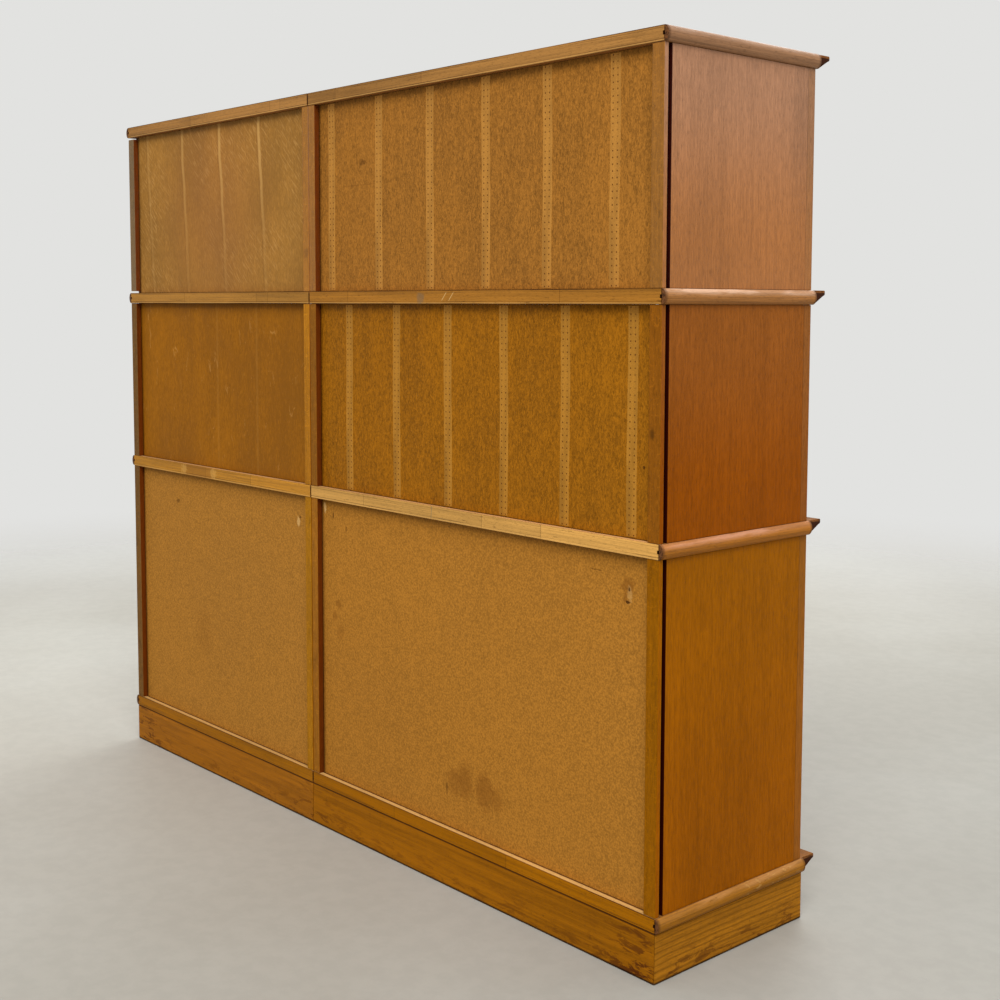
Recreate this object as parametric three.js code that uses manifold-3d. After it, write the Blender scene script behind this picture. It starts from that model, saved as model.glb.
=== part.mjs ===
// Sectional oak bookcase: two columns side by side on plinths, three bays high.
// The upper two rows have lifting glazed doors that slide back over the books.
// The lower row has pairs of solid sliding doors.
//
// Millimetres, +Z up, origin under the middle of the whole bookcase on the floor.
// The front faces -Y. Inside the carcass group, y = 0 is the rear plane and the
// front lies at negative y, so a depth d from the rear is at y = -d.

import * as THREE from 'three';
import { mergeVertices } from 'three/addons/utils/BufferGeometryUtils.js';
import { ConvexGeometry } from 'three/addons/geometries/ConvexGeometry.js';
import Module from 'manifold-3d';

const wasm = await Module();
wasm.setup();

// ---------------------------------------------------------------- driving sizes

const TOUCH = 0.3; // gap left between pieces that rest on each other

const WIDE_COLUMN = 900;
const NARROW_COLUMN = 723;
const COLUMN_GAP = 2;

const PLINTH_HEIGHT = 79;
const PLINTH_INSET = 1; // plinth front, behind the start of the boards' bevel
const PLINTH_BOARD = 20;

const LOWER_BAY_HEIGHT = 540;
const UPPER_BAY_HEIGHT = 349;

const BOARD_THICKNESS = 23;
const BOARD_FLAT_DEPTH = 360; // rear edge to the start of the front bevel
const NOSE_REACH = 31.5; // from there to the tip of the nose
const NOSE_FACE = 6.5; // height of the blunt nose
const NOSE_ROUND = 2.5;
const END_GROOVE_HEIGHT = 5.2;
const END_GROOVE_DEPTH = 3.5;
const END_GROOVE_STOP = 24; // the groove ends this far short of the bevel
const SEAM_GROOVE_START = 20; // the groove at the seam starts this far from the rear

const MOULDING_REACH = 8;
const MOULDING_INSET = 1; // moulding's front end, behind the start of the bevel
const TONGUE_START = 16; // the moulding's tongue starts this far from the rear

const OUTER_SIDE_THICKNESS = 24;
const INNER_SIDE_THICKNESS = 20;
const SIDE_SETBACK = 1; // rear edge of a side panel, in from the rear plane
const SIDE_INSET = 5; // its front edge, behind the start of the bevel
const KERF_FROM_EDGE = 8.5; // vertical jointing groove in the outer face
const KERF_WIDTH = 7.5;
const KERF_DEPTH = 8;
const NOTCH_LENGTH = 18; // open rear corners of one panel
const NOTCH_HEIGHT = 4;

const BACK_RECESS = 12; // rear plane to the rear face of a back panel
const PLYWOOD_BACK = 5;
const HARDBOARD_BACK = 4;
const BACK_GROOVE_DEPTH = 6;

const DOOR_THICKNESS = 20;
const DOOR_SETBACK = 2; // door face behind the side panels' front edges
const DOOR_SIDE_CLEARANCE = 1.5;
const DOOR_TOP_CLEARANCE = 2;
const DOOR_BOTTOM_CLEARANCE = 2.5;
const STILE_WIDTH = 42;
const TOP_RAIL_HEIGHT = 42;
const BOTTOM_RAIL_HEIGHT = 48;
const GLASS_THICKNESS = 4;
const GLASS_EDGE = 6; // how far the pane runs into the frame
const GLASS_CLEARANCE = 0.4;
const WINDOW_CHAMFER = 4;

const ROD_RADIUS = 4;
const ROD_CLEARANCE = 0.3; // radial, in the door's bore
const ROD_CHAMFER = 0.8;
const RUNNER_CLEARANCE = 0.5; // rod in its runner, above and below
const RUNNER_DEPTH = 8;
const ROD_END_CLEARANCE = 0.8;

const KNOB_RADIUS = 10;
const KNOB_PROJECTION = 24;
const KNOB_ROSE_RADIUS = 9;
const KNOB_NECK_RADIUS = 4.5;

const SLIDER_THICKNESS = 18;
const SLIDER_TONGUE = 8;
const SLIDER_CLEARANCE = 2; // above and below the door between the boards
const SLIDER_END_CLEARANCE = 1;
const SLIDER_LAP = 32; // overlap of the two closed doors
const SLIDER_SETBACK = 4; // front door's face behind the side panels' front edges
const SLIDER_GAP = 4; // between the front door and the rear door
const TRACK_CLEARANCE = 0.5; // each side of a tongue
const LOWER_TRACK_DEPTH = 5;
const UPPER_TRACK_DEPTH = 10;
const LIFT_ROOM = 3; // free depth above a door's upper tongue
const FINGER_PULL_RADIUS = 14;
const FINGER_PULL_DEPTH = 9;
const FINGER_PULL_INSET = 55; // from the door's outer edge

// ---------------------------------------------------------------- derived sizes

const OVERALL_DEPTH = BOARD_FLAT_DEPTH + NOSE_REACH;
const CASE_WIDTH = WIDE_COLUMN + COLUMN_GAP + NARROW_COLUMN;
const PLINTH_DEPTH = BOARD_FLAT_DEPTH - PLINTH_INSET;
const MOULDING_LENGTH = BOARD_FLAT_DEPTH - MOULDING_INSET;
const SIDE_FRONT = BOARD_FLAT_DEPTH - SIDE_INSET;
const DOOR_FRONT = SIDE_FRONT - DOOR_SETBACK;
const PIVOT_DEPTH = DOOR_FRONT - DOOR_THICKNESS / 2;
const PIVOT_DROP = DOOR_TOP_CLEARANCE + DOOR_THICKNESS / 2; // below the board above
const FRONT_TRACK = SIDE_FRONT - SLIDER_SETBACK - SLIDER_THICKNESS / 2; // middle of each track
const REAR_TRACK = FRONT_TRACK - SLIDER_THICKNESS - SLIDER_GAP;
const TRACK_WIDTH = SLIDER_TONGUE + 2 * TRACK_CLEARANCE;

// ---------------------------------------------------------------- materials

function finish(color, roughness, metalness = 0) {
  return new THREE.MeshStandardMaterial({ color, roughness, metalness });
}

const OAK_EDGE = () => finish(0xa9743a, 0.55);
const OAK_VENEER = () => finish(0x9a5b2a, 0.42);
const OAK_PLINTH = () => finish(0x955f26, 0.55);
const OAK_MOULDING = () => finish(0x9c6434, 0.45);
const PLYWOOD = () => finish(0x9c672a, 0.7);
const HARDBOARD = () => finish(0xa26c27, 0.8);
const STEEL = () => finish(0xb4b4b0, 0.3, 1);
const BRASS = () => finish(0xb58a45, 0.35, 1);

function paneGlass() {
  const material = finish(0xdfe8e4, 0.05);
  material.transparent = true;
  material.opacity = 0.3;
  return material;
}

// ---------------------------------------------------------------- shape helpers

// Box between two x values, two depths from the rear plane and two heights.
function block(x0, x1, depth0, depth1, z0, z1) {
  const geometry = new THREE.BoxGeometry(Math.abs(x1 - x0), Math.abs(depth1 - depth0), z1 - z0);
  return geometry.translate((x0 + x1) / 2, -(depth0 + depth1) / 2, (z0 + z1) / 2);
}

// Outline drawn in (y, z), run along X from x0 to x1.
function runAlongX(outline, x0, x1, curveSegments = 6) {
  const settings = { depth: x1 - x0, bevelEnabled: false, curveSegments };
  const toXAxis = new THREE.Matrix4().makeBasis(
    new THREE.Vector3(0, 1, 0),
    new THREE.Vector3(0, 0, 1),
    new THREE.Vector3(1, 0, 0),
  );
  return new THREE.ExtrudeGeometry(outline, settings).applyMatrix4(toXAxis).translate(x0, 0, 0);
}

// Outline drawn in (x, z), run forwards along -Y from the rear plane.
function runForwards(outline, length, curveSegments = 8) {
  const settings = { depth: length, bevelEnabled: false, curveSegments };
  const toFront = new THREE.Matrix4().makeBasis(
    new THREE.Vector3(1, 0, 0),
    new THREE.Vector3(0, 0, 1),
    new THREE.Vector3(0, -1, 0),
  );
  return new THREE.ExtrudeGeometry(outline, settings).applyMatrix4(toFront);
}

// Round bar along X, centred on a depth and a height.
function bar(radius, x0, x1, depth, z, segments = 24) {
  const geometry = new THREE.CylinderGeometry(radius, radius, x1 - x0, segments);
  return geometry.rotateZ(Math.PI / 2).translate((x0 + x1) / 2, -depth, z);
}

function toSolid(geometry) {
  const bare = geometry.clone();
  bare.deleteAttribute('normal');
  bare.deleteAttribute('uv');
  const merged = mergeVertices(bare, 1e-4);
  return new wasm.Manifold(new wasm.Mesh({
    numProp: 3,
    vertProperties: new Float32Array(merged.attributes.position.array),
    triVerts: new Uint32Array(merged.index.array),
  }));
}

function toGeometry(solid) {
  const mesh = solid.getMesh();
  const geometry = new THREE.BufferGeometry();
  geometry.setAttribute('position', new THREE.BufferAttribute(new Float32Array(mesh.vertProperties), 3));
  geometry.setIndex(new THREE.BufferAttribute(new Uint32Array(mesh.triVerts), 1));
  geometry.computeVertexNormals();
  return geometry;
}

function cutFrom(geometry, cutters) {
  const carved = cutters.reduce((solid, cutter) => solid.subtract(toSolid(cutter)), toSolid(geometry));
  return toGeometry(carved);
}

function joinTo(geometry, additions) {
  const joined = additions.reduce((solid, addition) => solid.add(toSolid(addition)), toSolid(geometry));
  return toGeometry(joined);
}

function addPiece(group, name, geometry, material) {
  const mesh = new THREE.Mesh(geometry, material);
  mesh.name = name;
  group.add(mesh);
  return mesh;
}

function addGroup(parent, x, y, z) {
  const group = new THREE.Group();
  group.position.set(x, y, z);
  parent.add(group);
  return group;
}

// ---------------------------------------------------------------- boards

// Section of a board: flat top, square rear edge, bevelled underside at the front
// that rises to a blunt, softly rounded nose.
function boardSection() {
  const tip = -OVERALL_DEPTH;
  const top = BOARD_THICKNESS;
  const noseFoot = top - NOSE_FACE;
  const section = new THREE.Shape();
  section.moveTo(0, 0);
  section.lineTo(0, top);
  section.lineTo(tip + NOSE_ROUND, top);
  section.quadraticCurveTo(tip, top, tip, top - NOSE_ROUND);
  section.lineTo(tip, noseFoot + NOSE_ROUND / 2);
  section.quadraticCurveTo(tip, noseFoot - NOSE_ROUND / 2, tip + 2 * NOSE_ROUND, noseFoot - NOSE_ROUND);
  section.lineTo(-BOARD_FLAT_DEPTH - NOSE_ROUND, NOSE_ROUND / 4);
  section.quadraticCurveTo(-BOARD_FLAT_DEPTH, 0, -BOARD_FLAT_DEPTH + NOSE_ROUND, 0);
  section.closePath();
  return section;
}

// A groove along each end of the board, half way up its thickness. The outer one runs out
// at the rear edge, and the one at the seam is stopped short of it.
function endGrooves(width, outerSide) {
  const z0 = (BOARD_THICKNESS - END_GROOVE_HEIGHT) / 2;
  const stop = BOARD_FLAT_DEPTH - END_GROOVE_STOP;
  return [-1, 1].map((side) => {
    const outer = side * (width / 2 + 1);
    const inner = side * (width / 2 - END_GROOVE_DEPTH);
    const start = side === outerSide ? -1 : SEAM_GROOVE_START;
    return block(outer, inner, start, stop, z0, z0 + END_GROOVE_HEIGHT);
  });
}

// The two sliding-door tracks, from z0 to z1, between the side panels.
function doorTracks(bayCentre, clearWidth, z0, z1) {
  const x0 = bayCentre - clearWidth / 2;
  const x1 = bayCentre + clearWidth / 2;
  return [FRONT_TRACK, REAR_TRACK].map((depth) => (
    block(x0, x1, depth - TRACK_WIDTH / 2, depth + TRACK_WIDTH / 2, z0, z1)
  ));
}

function board(width, outerSide, tracks) {
  const blank = runAlongX(boardSection(), -width / 2, width / 2);
  return cutFrom(blank, [...endGrooves(width, outerSide), ...tracks]);
}

// Half-round moulding along a board's outer end, with a tongue for the end groove.
function endMoulding(side) {
  const section = new THREE.Shape();
  section.moveTo(0, 0);
  section.absellipse(0, BOARD_THICKNESS / 2, MOULDING_REACH, BOARD_THICKNESS / 2, -Math.PI / 2, Math.PI / 2);
  section.closePath();
  const rounded = runForwards(section, MOULDING_LENGTH);
  const half = END_GROOVE_HEIGHT / 2 - TOUCH;
  const middle = BOARD_THICKNESS / 2;
  const tongueEnd = BOARD_FLAT_DEPTH - END_GROOVE_STOP - TOUCH;
  const tongue = block(
    TOUCH - END_GROOVE_DEPTH, 1, TONGUE_START, tongueEnd, middle - half, middle + half,
  );
  const moulding = joinTo(rounded, [tongue]);
  // For the left-hand end the piece is turned end for end about its length.
  if (side < 0) {
    moulding.translate(0, 0, -middle).rotateY(Math.PI).translate(0, 0, middle);
  }
  return moulding;
}

// ---------------------------------------------------------------- side panels

// A side panel centred on x = 0; side is the direction its outer face looks.
function sidePanel(side, thickness, height, backThickness, cutters) {
  const outer = side * thickness / 2;
  const inner = -outer;
  const blank = block(outer, inner, SIDE_SETBACK, SIDE_FRONT, TOUCH, height - TOUCH);
  const kerfStart = SIDE_SETBACK + KERF_FROM_EDGE;
  const kerf = block(
    outer + side, outer - side * KERF_DEPTH, kerfStart, kerfStart + KERF_WIDTH, -1, height + 1,
  );
  const backGroove = block(
    inner - side, inner + side * BACK_GROOVE_DEPTH,
    BACK_RECESS - TOUCH, BACK_RECESS + backThickness + TOUCH, -1, height + 1,
  );
  return cutFrom(blank, [kerf, backGroove, ...cutters]);
}

// Runner for the end of a pivot rod: from the back panel's groove to a round front end.
function rodRunner(side, thickness, height) {
  const inner = -side * thickness / 2;
  const floor = inner + side * RUNNER_DEPTH;
  const z = height - PIVOT_DROP;
  const radius = ROD_RADIUS + RUNNER_CLEARANCE;
  const mouth = inner - side;
  const roundEnd = bar(radius, Math.min(mouth, floor), Math.max(mouth, floor), PIVOT_DEPTH, z);
  return [block(mouth, floor, BACK_RECESS, PIVOT_DEPTH, z - radius, z + radius), roundEnd];
}

// Open rear corners, top and bottom, right through the panel.
function rearNotches(thickness, height) {
  const reach = thickness;
  const end = SIDE_SETBACK + NOTCH_LENGTH;
  return [
    block(-reach, reach, -1, end, -1, TOUCH + NOTCH_HEIGHT),
    block(-reach, reach, -1, end, height - TOUCH - NOTCH_HEIGHT, height + 1),
  ];
}

function backPanel(clearWidth, height, thickness) {
  const reach = clearWidth / 2 + BACK_GROOVE_DEPTH - TOUCH;
  return block(-reach, reach, BACK_RECESS, BACK_RECESS + thickness, TOUCH, height - TOUCH);
}

// ---------------------------------------------------------------- lifting glazed door

function doorSizes(clearWidth, height) {
  const width = clearWidth - 2 * DOOR_SIDE_CLEARANCE;
  const pivotZ = height - PIVOT_DROP;
  const bottom = DOOR_BOTTOM_CLEARANCE;
  const top = height - DOOR_TOP_CLEARANCE;
  return {
    width,
    pivotZ,
    bottom,
    windowX: width / 2 - STILE_WIDTH,
    windowZ0: bottom + BOTTOM_RAIL_HEIGHT,
    windowZ1: top - TOP_RAIL_HEIGHT,
  };
}

// Frame blank: square below, and a full round along the top about the pivot.
function frameBlank(sizes) {
  const half = DOOR_THICKNESS / 2;
  const section = new THREE.Shape();
  section.moveTo(-PIVOT_DEPTH - half, sizes.bottom);
  section.lineTo(-PIVOT_DEPTH + half, sizes.bottom);
  section.lineTo(-PIVOT_DEPTH + half, sizes.pivotZ);
  section.absarc(-PIVOT_DEPTH, sizes.pivotZ, half, 0, Math.PI, false);
  section.closePath();
  return runAlongX(section, -sizes.width / 2, sizes.width / 2, 20);
}

// Wedge-sided cutter that chamfers the window's front edge.
function windowChamfer(sizes) {
  const layers = [
    { depth: DOOR_FRONT + 1, grow: WINDOW_CHAMFER + 1 },
    { depth: DOOR_FRONT - WINDOW_CHAMFER, grow: 0 },
  ];
  const corners = layers.flatMap(({ depth, grow }) => [-1, 1].flatMap((side) => [
    new THREE.Vector3(side * (sizes.windowX + grow), -depth, sizes.windowZ0 - grow),
    new THREE.Vector3(side * (sizes.windowX + grow), -depth, sizes.windowZ1 + grow),
  ]));
  return new ConvexGeometry(corners);
}

function doorFrame(sizes) {
  const rear = DOOR_FRONT - DOOR_THICKNESS;
  const groove = GLASS_THICKNESS / 2 + GLASS_CLEARANCE;
  const edge = GLASS_EDGE + GLASS_CLEARANCE;
  const opening = block(
    -sizes.windowX, sizes.windowX, rear - 1, DOOR_FRONT + 1, sizes.windowZ0, sizes.windowZ1,
  );
  const glassGroove = block(
    -sizes.windowX - edge, sizes.windowX + edge, PIVOT_DEPTH - groove, PIVOT_DEPTH + groove,
    sizes.windowZ0 - edge, sizes.windowZ1 + edge,
  );
  const bore = bar(
    ROD_RADIUS + ROD_CLEARANCE, -sizes.width / 2 - 1, sizes.width / 2 + 1, PIVOT_DEPTH, sizes.pivotZ,
  );
  return cutFrom(frameBlank(sizes), [opening, windowChamfer(sizes), glassGroove, bore]);
}

function doorGlass(sizes) {
  const half = GLASS_THICKNESS / 2;
  return block(
    -sizes.windowX - GLASS_EDGE, sizes.windowX + GLASS_EDGE, PIVOT_DEPTH - half, PIVOT_DEPTH + half,
    sizes.windowZ0 - GLASS_EDGE, sizes.windowZ1 + GLASS_EDGE,
  );
}

// Steel rod with chamfered ends that carries the door in the two runners.
function pivotRod(clearWidth, sizes) {
  const reach = clearWidth / 2 + RUNNER_DEPTH - ROD_END_CLEARANCE;
  const profile = [
    new THREE.Vector2(0, -reach),
    new THREE.Vector2(ROD_RADIUS - ROD_CHAMFER, -reach),
    new THREE.Vector2(ROD_RADIUS, -reach + ROD_CHAMFER),
    new THREE.Vector2(ROD_RADIUS, reach - ROD_CHAMFER),
    new THREE.Vector2(ROD_RADIUS - ROD_CHAMFER, reach),
    new THREE.Vector2(0, reach),
  ];
  return new THREE.LatheGeometry(profile, 24).rotateZ(Math.PI / 2).translate(0, -PIVOT_DEPTH, sizes.pivotZ);
}

// Turned knob on a small rose, pointing forwards from the bottom rail.
function doorKnob(sizes) {
  const profile = new THREE.Path();
  profile.moveTo(0, 0);
  profile.lineTo(KNOB_ROSE_RADIUS, 0);
  profile.lineTo(KNOB_ROSE_RADIUS, 1.2);
  profile.lineTo(KNOB_NECK_RADIUS + 1, 3);
  profile.quadraticCurveTo(KNOB_NECK_RADIUS - 1, 7, KNOB_NECK_RADIUS + 1, 10);
  const rimZ = (10 + KNOB_PROJECTION) / 2;
  profile.quadraticCurveTo(KNOB_RADIUS, 11, KNOB_RADIUS, rimZ);
  profile.quadraticCurveTo(KNOB_RADIUS, KNOB_PROJECTION, 0, KNOB_PROJECTION);
  const geometry = new THREE.LatheGeometry(profile.getPoints(5), 20);
  const z = sizes.bottom + BOTTOM_RAIL_HEIGHT / 2;
  return geometry.rotateX(Math.PI).translate(0, -DOOR_FRONT - TOUCH, z);
}

function addLiftingDoor(bay, name, clearWidth, height) {
  const sizes = doorSizes(clearWidth, height);
  addPiece(bay, `${name}_door_frame`, doorFrame(sizes), OAK_VENEER());
  addPiece(bay, `${name}_door_glass`, doorGlass(sizes), paneGlass());
  addPiece(bay, `${name}_door_rod`, pivotRod(clearWidth, sizes), STEEL());
  addPiece(bay, `${name}_door_knob`, doorKnob(sizes), BRASS());
}

// ---------------------------------------------------------------- sliding doors

// side is -1 for the left-hand door, seen from the front, and 1 for the right.
function slidingDoor(side, clearWidth, height, track) {
  const width = (clearWidth - 2 * SLIDER_END_CLEARANCE + SLIDER_LAP) / 2;
  const outer = side * (clearWidth / 2 - SLIDER_END_CLEARANCE);
  const inner = outer - side * width;
  const front = track + SLIDER_THICKNESS / 2;
  const rear = track - SLIDER_THICKNESS / 2;
  const slab = block(outer, inner, rear, front, SLIDER_CLEARANCE, height - SLIDER_CLEARANCE);
  const tongue = block(
    outer, inner, track - SLIDER_TONGUE / 2, track + SLIDER_TONGUE / 2,
    TOUCH - LOWER_TRACK_DEPTH, height + UPPER_TRACK_DEPTH - LIFT_ROOM,
  );
  const pull = new THREE.CylinderGeometry(FINGER_PULL_RADIUS, FINGER_PULL_RADIUS, 2 * FINGER_PULL_DEPTH, 32);
  pull.translate(outer - side * FINGER_PULL_INSET, -front, height / 2);
  return cutFrom(joinTo(slab, [tongue]), [pull]);
}

// ---------------------------------------------------------------- plinth

// A long plinth board between depth0 and depth1, mitred at the outer end only.
function plinthRail(outerSide, width, faceDepth, innerDepth) {
  const outer = outerSide * width / 2;
  const inner = -outer;
  const outline = new THREE.Shape([
    new THREE.Vector2(inner, -faceDepth),
    new THREE.Vector2(outer - outerSide * TOUCH, -faceDepth),
    new THREE.Vector2(outer - outerSide * (PLINTH_BOARD + TOUCH), -innerDepth),
    new THREE.Vector2(inner, -innerDepth),
  ]);
  const settings = { depth: PLINTH_HEIGHT - TOUCH, bevelEnabled: false };
  return new THREE.ExtrudeGeometry(outline, settings);
}

// The short board across the outer end, mitred at both corners.
function plinthEnd(outerSide, width) {
  const outer = outerSide * width / 2;
  const inner = outer - outerSide * PLINTH_BOARD;
  const outline = new THREE.Shape([
    new THREE.Vector2(outer, -TOUCH),
    new THREE.Vector2(inner, -PLINTH_BOARD - TOUCH),
    new THREE.Vector2(inner, -PLINTH_DEPTH + PLINTH_BOARD + TOUCH),
    new THREE.Vector2(outer, -PLINTH_DEPTH + TOUCH),
  ]);
  const settings = { depth: PLINTH_HEIGHT - TOUCH, bevelEnabled: false };
  return new THREE.ExtrudeGeometry(outline, settings);
}

function addPlinth(column, name, outerSide, width) {
  addPiece(column, `${name}_plinth_back`, plinthRail(outerSide, width, 0, PLINTH_BOARD), OAK_PLINTH());
  const front = plinthRail(outerSide, width, PLINTH_DEPTH, PLINTH_DEPTH - PLINTH_BOARD);
  addPiece(column, `${name}_plinth_front`, front, OAK_PLINTH());
  addPiece(column, `${name}_plinth_end`, plinthEnd(outerSide, width), OAK_PLINTH());
}

// ---------------------------------------------------------------- one column

function addBoard(column, name, z, width, outerSide, tracks) {
  const level = addGroup(column, 0, 0, z);
  addPiece(level, `${name}_board`, board(width, outerSide, tracks), OAK_EDGE());
  const moulding = addPiece(level, `${name}_end_moulding`, endMoulding(outerSide), OAK_MOULDING());
  moulding.position.x = outerSide * (width / 2 + TOUCH);
}

function addSides(bay, name, clearWidth, height, backThickness, outerSide, cuttersFor) {
  [-1, 1].forEach((side) => {
    const place = side === outerSide ? 'outer' : 'inner';
    const thickness = side === outerSide ? OUTER_SIDE_THICKNESS : INNER_SIDE_THICKNESS;
    const panel = sidePanel(side, thickness, height, backThickness, cuttersFor(side, thickness));
    const mesh = addPiece(bay, `${name}_${place}_side`, panel, OAK_VENEER());
    mesh.position.x = side * (clearWidth + thickness) / 2;
  });
}

function addUpperBay(column, name, x, z, clearWidth, outerSide, notchedSide) {
  const bay = addGroup(column, x, 0, z);
  const height = UPPER_BAY_HEIGHT;
  const cuttersFor = (side, thickness) => [
    ...rodRunner(side, thickness, height),
    ...(side === notchedSide ? rearNotches(thickness, height) : []),
  ];
  addSides(bay, name, clearWidth, height, PLYWOOD_BACK, outerSide, cuttersFor);
  addPiece(bay, `${name}_back`, backPanel(clearWidth, height, PLYWOOD_BACK), PLYWOOD());
  addLiftingDoor(bay, name, clearWidth, height);
}

function addLowerBay(column, name, x, z, clearWidth, outerSide) {
  const bay = addGroup(column, x, 0, z);
  const height = LOWER_BAY_HEIGHT;
  addSides(bay, name, clearWidth, height, HARDBOARD_BACK, outerSide, () => []);
  addPiece(bay, `${name}_back`, backPanel(clearWidth, height, HARDBOARD_BACK), HARDBOARD());
  addPiece(bay, `${name}_left_sliding_door`, slidingDoor(-1, clearWidth, height, REAR_TRACK), OAK_VENEER());
  addPiece(bay, `${name}_right_sliding_door`, slidingDoor(1, clearWidth, height, FRONT_TRACK), OAK_VENEER());
}

function addColumn(carcass, name, centreX, width, outerSide, notchedSide) {
  const column = addGroup(carcass, centreX, 0, 0);
  const clearWidth = width - OUTER_SIDE_THICKNESS - INNER_SIDE_THICKNESS;
  const bayCentre = outerSide * (INNER_SIDE_THICKNESS - OUTER_SIDE_THICKNESS) / 2;
  addPlinth(column, name, outerSide, width);

  const baseZ = PLINTH_HEIGHT;
  const lowerZ = baseZ + BOARD_THICKNESS;
  const middleBoardZ = lowerZ + LOWER_BAY_HEIGHT;
  const middleZ = middleBoardZ + BOARD_THICKNESS;
  const upperBoardZ = middleZ + UPPER_BAY_HEIGHT;
  const upperZ = upperBoardZ + BOARD_THICKNESS;
  const topZ = upperZ + UPPER_BAY_HEIGHT;

  const trackFloor = BOARD_THICKNESS - LOWER_TRACK_DEPTH;
  const lowerTracks = doorTracks(bayCentre, clearWidth, trackFloor, BOARD_THICKNESS + 1);
  const upperTracks = doorTracks(bayCentre, clearWidth, -1, UPPER_TRACK_DEPTH);
  addBoard(column, `${name}_base`, baseZ, width, outerSide, lowerTracks);
  addBoard(column, `${name}_middle`, middleBoardZ, width, outerSide, upperTracks);
  addBoard(column, `${name}_upper`, upperBoardZ, width, outerSide, []);
  addBoard(column, `${name}_top`, topZ, width, outerSide, []);

  addLowerBay(column, `${name}_lower`, bayCentre, lowerZ, clearWidth, outerSide);
  addUpperBay(column, `${name}_middle`, bayCentre, middleZ, clearWidth, outerSide, 0);
  addUpperBay(column, `${name}_upper`, bayCentre, upperZ, clearWidth, outerSide, notchedSide);
}

// ---------------------------------------------------------------- the bookcase

const bookcase = new THREE.Group();
const carcass = addGroup(bookcase, 0, OVERALL_DEPTH / 2, 0);
addColumn(carcass, 'wide', (WIDE_COLUMN - CASE_WIDTH) / 2, WIDE_COLUMN, -1, 0);
addColumn(carcass, 'narrow', (CASE_WIDTH - NARROW_COLUMN) / 2, NARROW_COLUMN, 1, 1);

export default bookcase;
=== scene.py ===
import math
import random

import bmesh
import bpy
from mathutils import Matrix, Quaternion, Vector


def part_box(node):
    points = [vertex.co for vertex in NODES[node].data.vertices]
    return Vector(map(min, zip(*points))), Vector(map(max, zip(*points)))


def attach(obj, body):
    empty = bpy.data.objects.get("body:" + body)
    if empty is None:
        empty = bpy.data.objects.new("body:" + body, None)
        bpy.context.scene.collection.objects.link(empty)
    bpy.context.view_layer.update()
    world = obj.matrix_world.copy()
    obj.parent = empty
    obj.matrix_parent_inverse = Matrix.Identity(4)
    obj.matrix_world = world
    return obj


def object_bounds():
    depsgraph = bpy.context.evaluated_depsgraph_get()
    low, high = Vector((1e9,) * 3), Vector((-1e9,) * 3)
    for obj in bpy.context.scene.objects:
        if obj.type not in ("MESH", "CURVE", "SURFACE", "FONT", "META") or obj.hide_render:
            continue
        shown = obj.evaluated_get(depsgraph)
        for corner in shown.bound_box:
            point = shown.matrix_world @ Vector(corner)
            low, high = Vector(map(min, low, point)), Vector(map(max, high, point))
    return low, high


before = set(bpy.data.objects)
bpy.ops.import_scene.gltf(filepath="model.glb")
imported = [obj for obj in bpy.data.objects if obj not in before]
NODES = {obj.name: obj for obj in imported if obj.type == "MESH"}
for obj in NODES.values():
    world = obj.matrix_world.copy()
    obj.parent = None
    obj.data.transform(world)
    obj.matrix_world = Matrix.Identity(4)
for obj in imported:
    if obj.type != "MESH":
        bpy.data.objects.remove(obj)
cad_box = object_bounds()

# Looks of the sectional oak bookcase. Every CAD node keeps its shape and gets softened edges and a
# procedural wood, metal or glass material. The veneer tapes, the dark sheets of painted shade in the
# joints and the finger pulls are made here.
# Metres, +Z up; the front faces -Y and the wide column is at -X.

COLUMNS = ("wide", "narrow")
OUTER = {"wide": -1, "narrow": 1}  # the side of each column that looks outwards
LEVELS = ("base", "middle", "upper", "top")
BAYS = ("lower", "middle", "upper")
AXES = "XYZ"

low, high = cad_box
HEIGHT = high.z
MIDDLE = (low + high) / 2


# ------------------------------------------------------------------ camera

# From the near rear corner at the floor, in heights of the bookcase.
CAMERA_FROM_CORNER = Vector((-0.980, 1.084, 0.719))
HEADING, PITCH, ROLL = 131.79, -4.602, 0.155  # degrees; the heading turns from +Y towards +X
SENSOR_WIDTH, LENS = 36, 51.17  # millimetres
SHIFT_X, SHIFT_Y = -0.009, -0.081


def make_camera():
    data = bpy.data.cameras.new("camera")
    data.sensor_width = SENSOR_WIDTH
    data.lens = LENS
    data.shift_x = SHIFT_X
    data.shift_y = SHIFT_Y
    camera = bpy.data.objects.new("camera", data)
    bpy.context.scene.collection.objects.link(camera)
    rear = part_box("wide_plinth_back")[1].y
    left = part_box("wide_base_board")[0].x
    camera.location = Vector((left, rear, 0)) + CAMERA_FROM_CORNER * HEIGHT
    heading, pitch = math.radians(HEADING), math.radians(PITCH)
    look = Vector((math.sin(heading) * math.cos(pitch), math.cos(heading) * math.cos(pitch), math.sin(pitch)))
    camera.rotation_mode = "QUATERNION"
    level = look.to_track_quat("-Z", "Y")
    camera.rotation_quaternion = level @ Quaternion((0, 0, 1), math.radians(ROLL))
    bpy.context.scene.camera = camera


# ------------------------------------------------------------------ material writing

def srgb(red, green, blue):
    """A colour given as 0 to 255 screen values, as the linear colour that shaders use."""
    def linear(value):
        share = value / 255
        return share / 12.92 if share <= 0.04045 else ((share + 0.055) / 1.055) ** 2.4
    return (linear(red), linear(green), linear(blue), 1.0)


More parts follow.
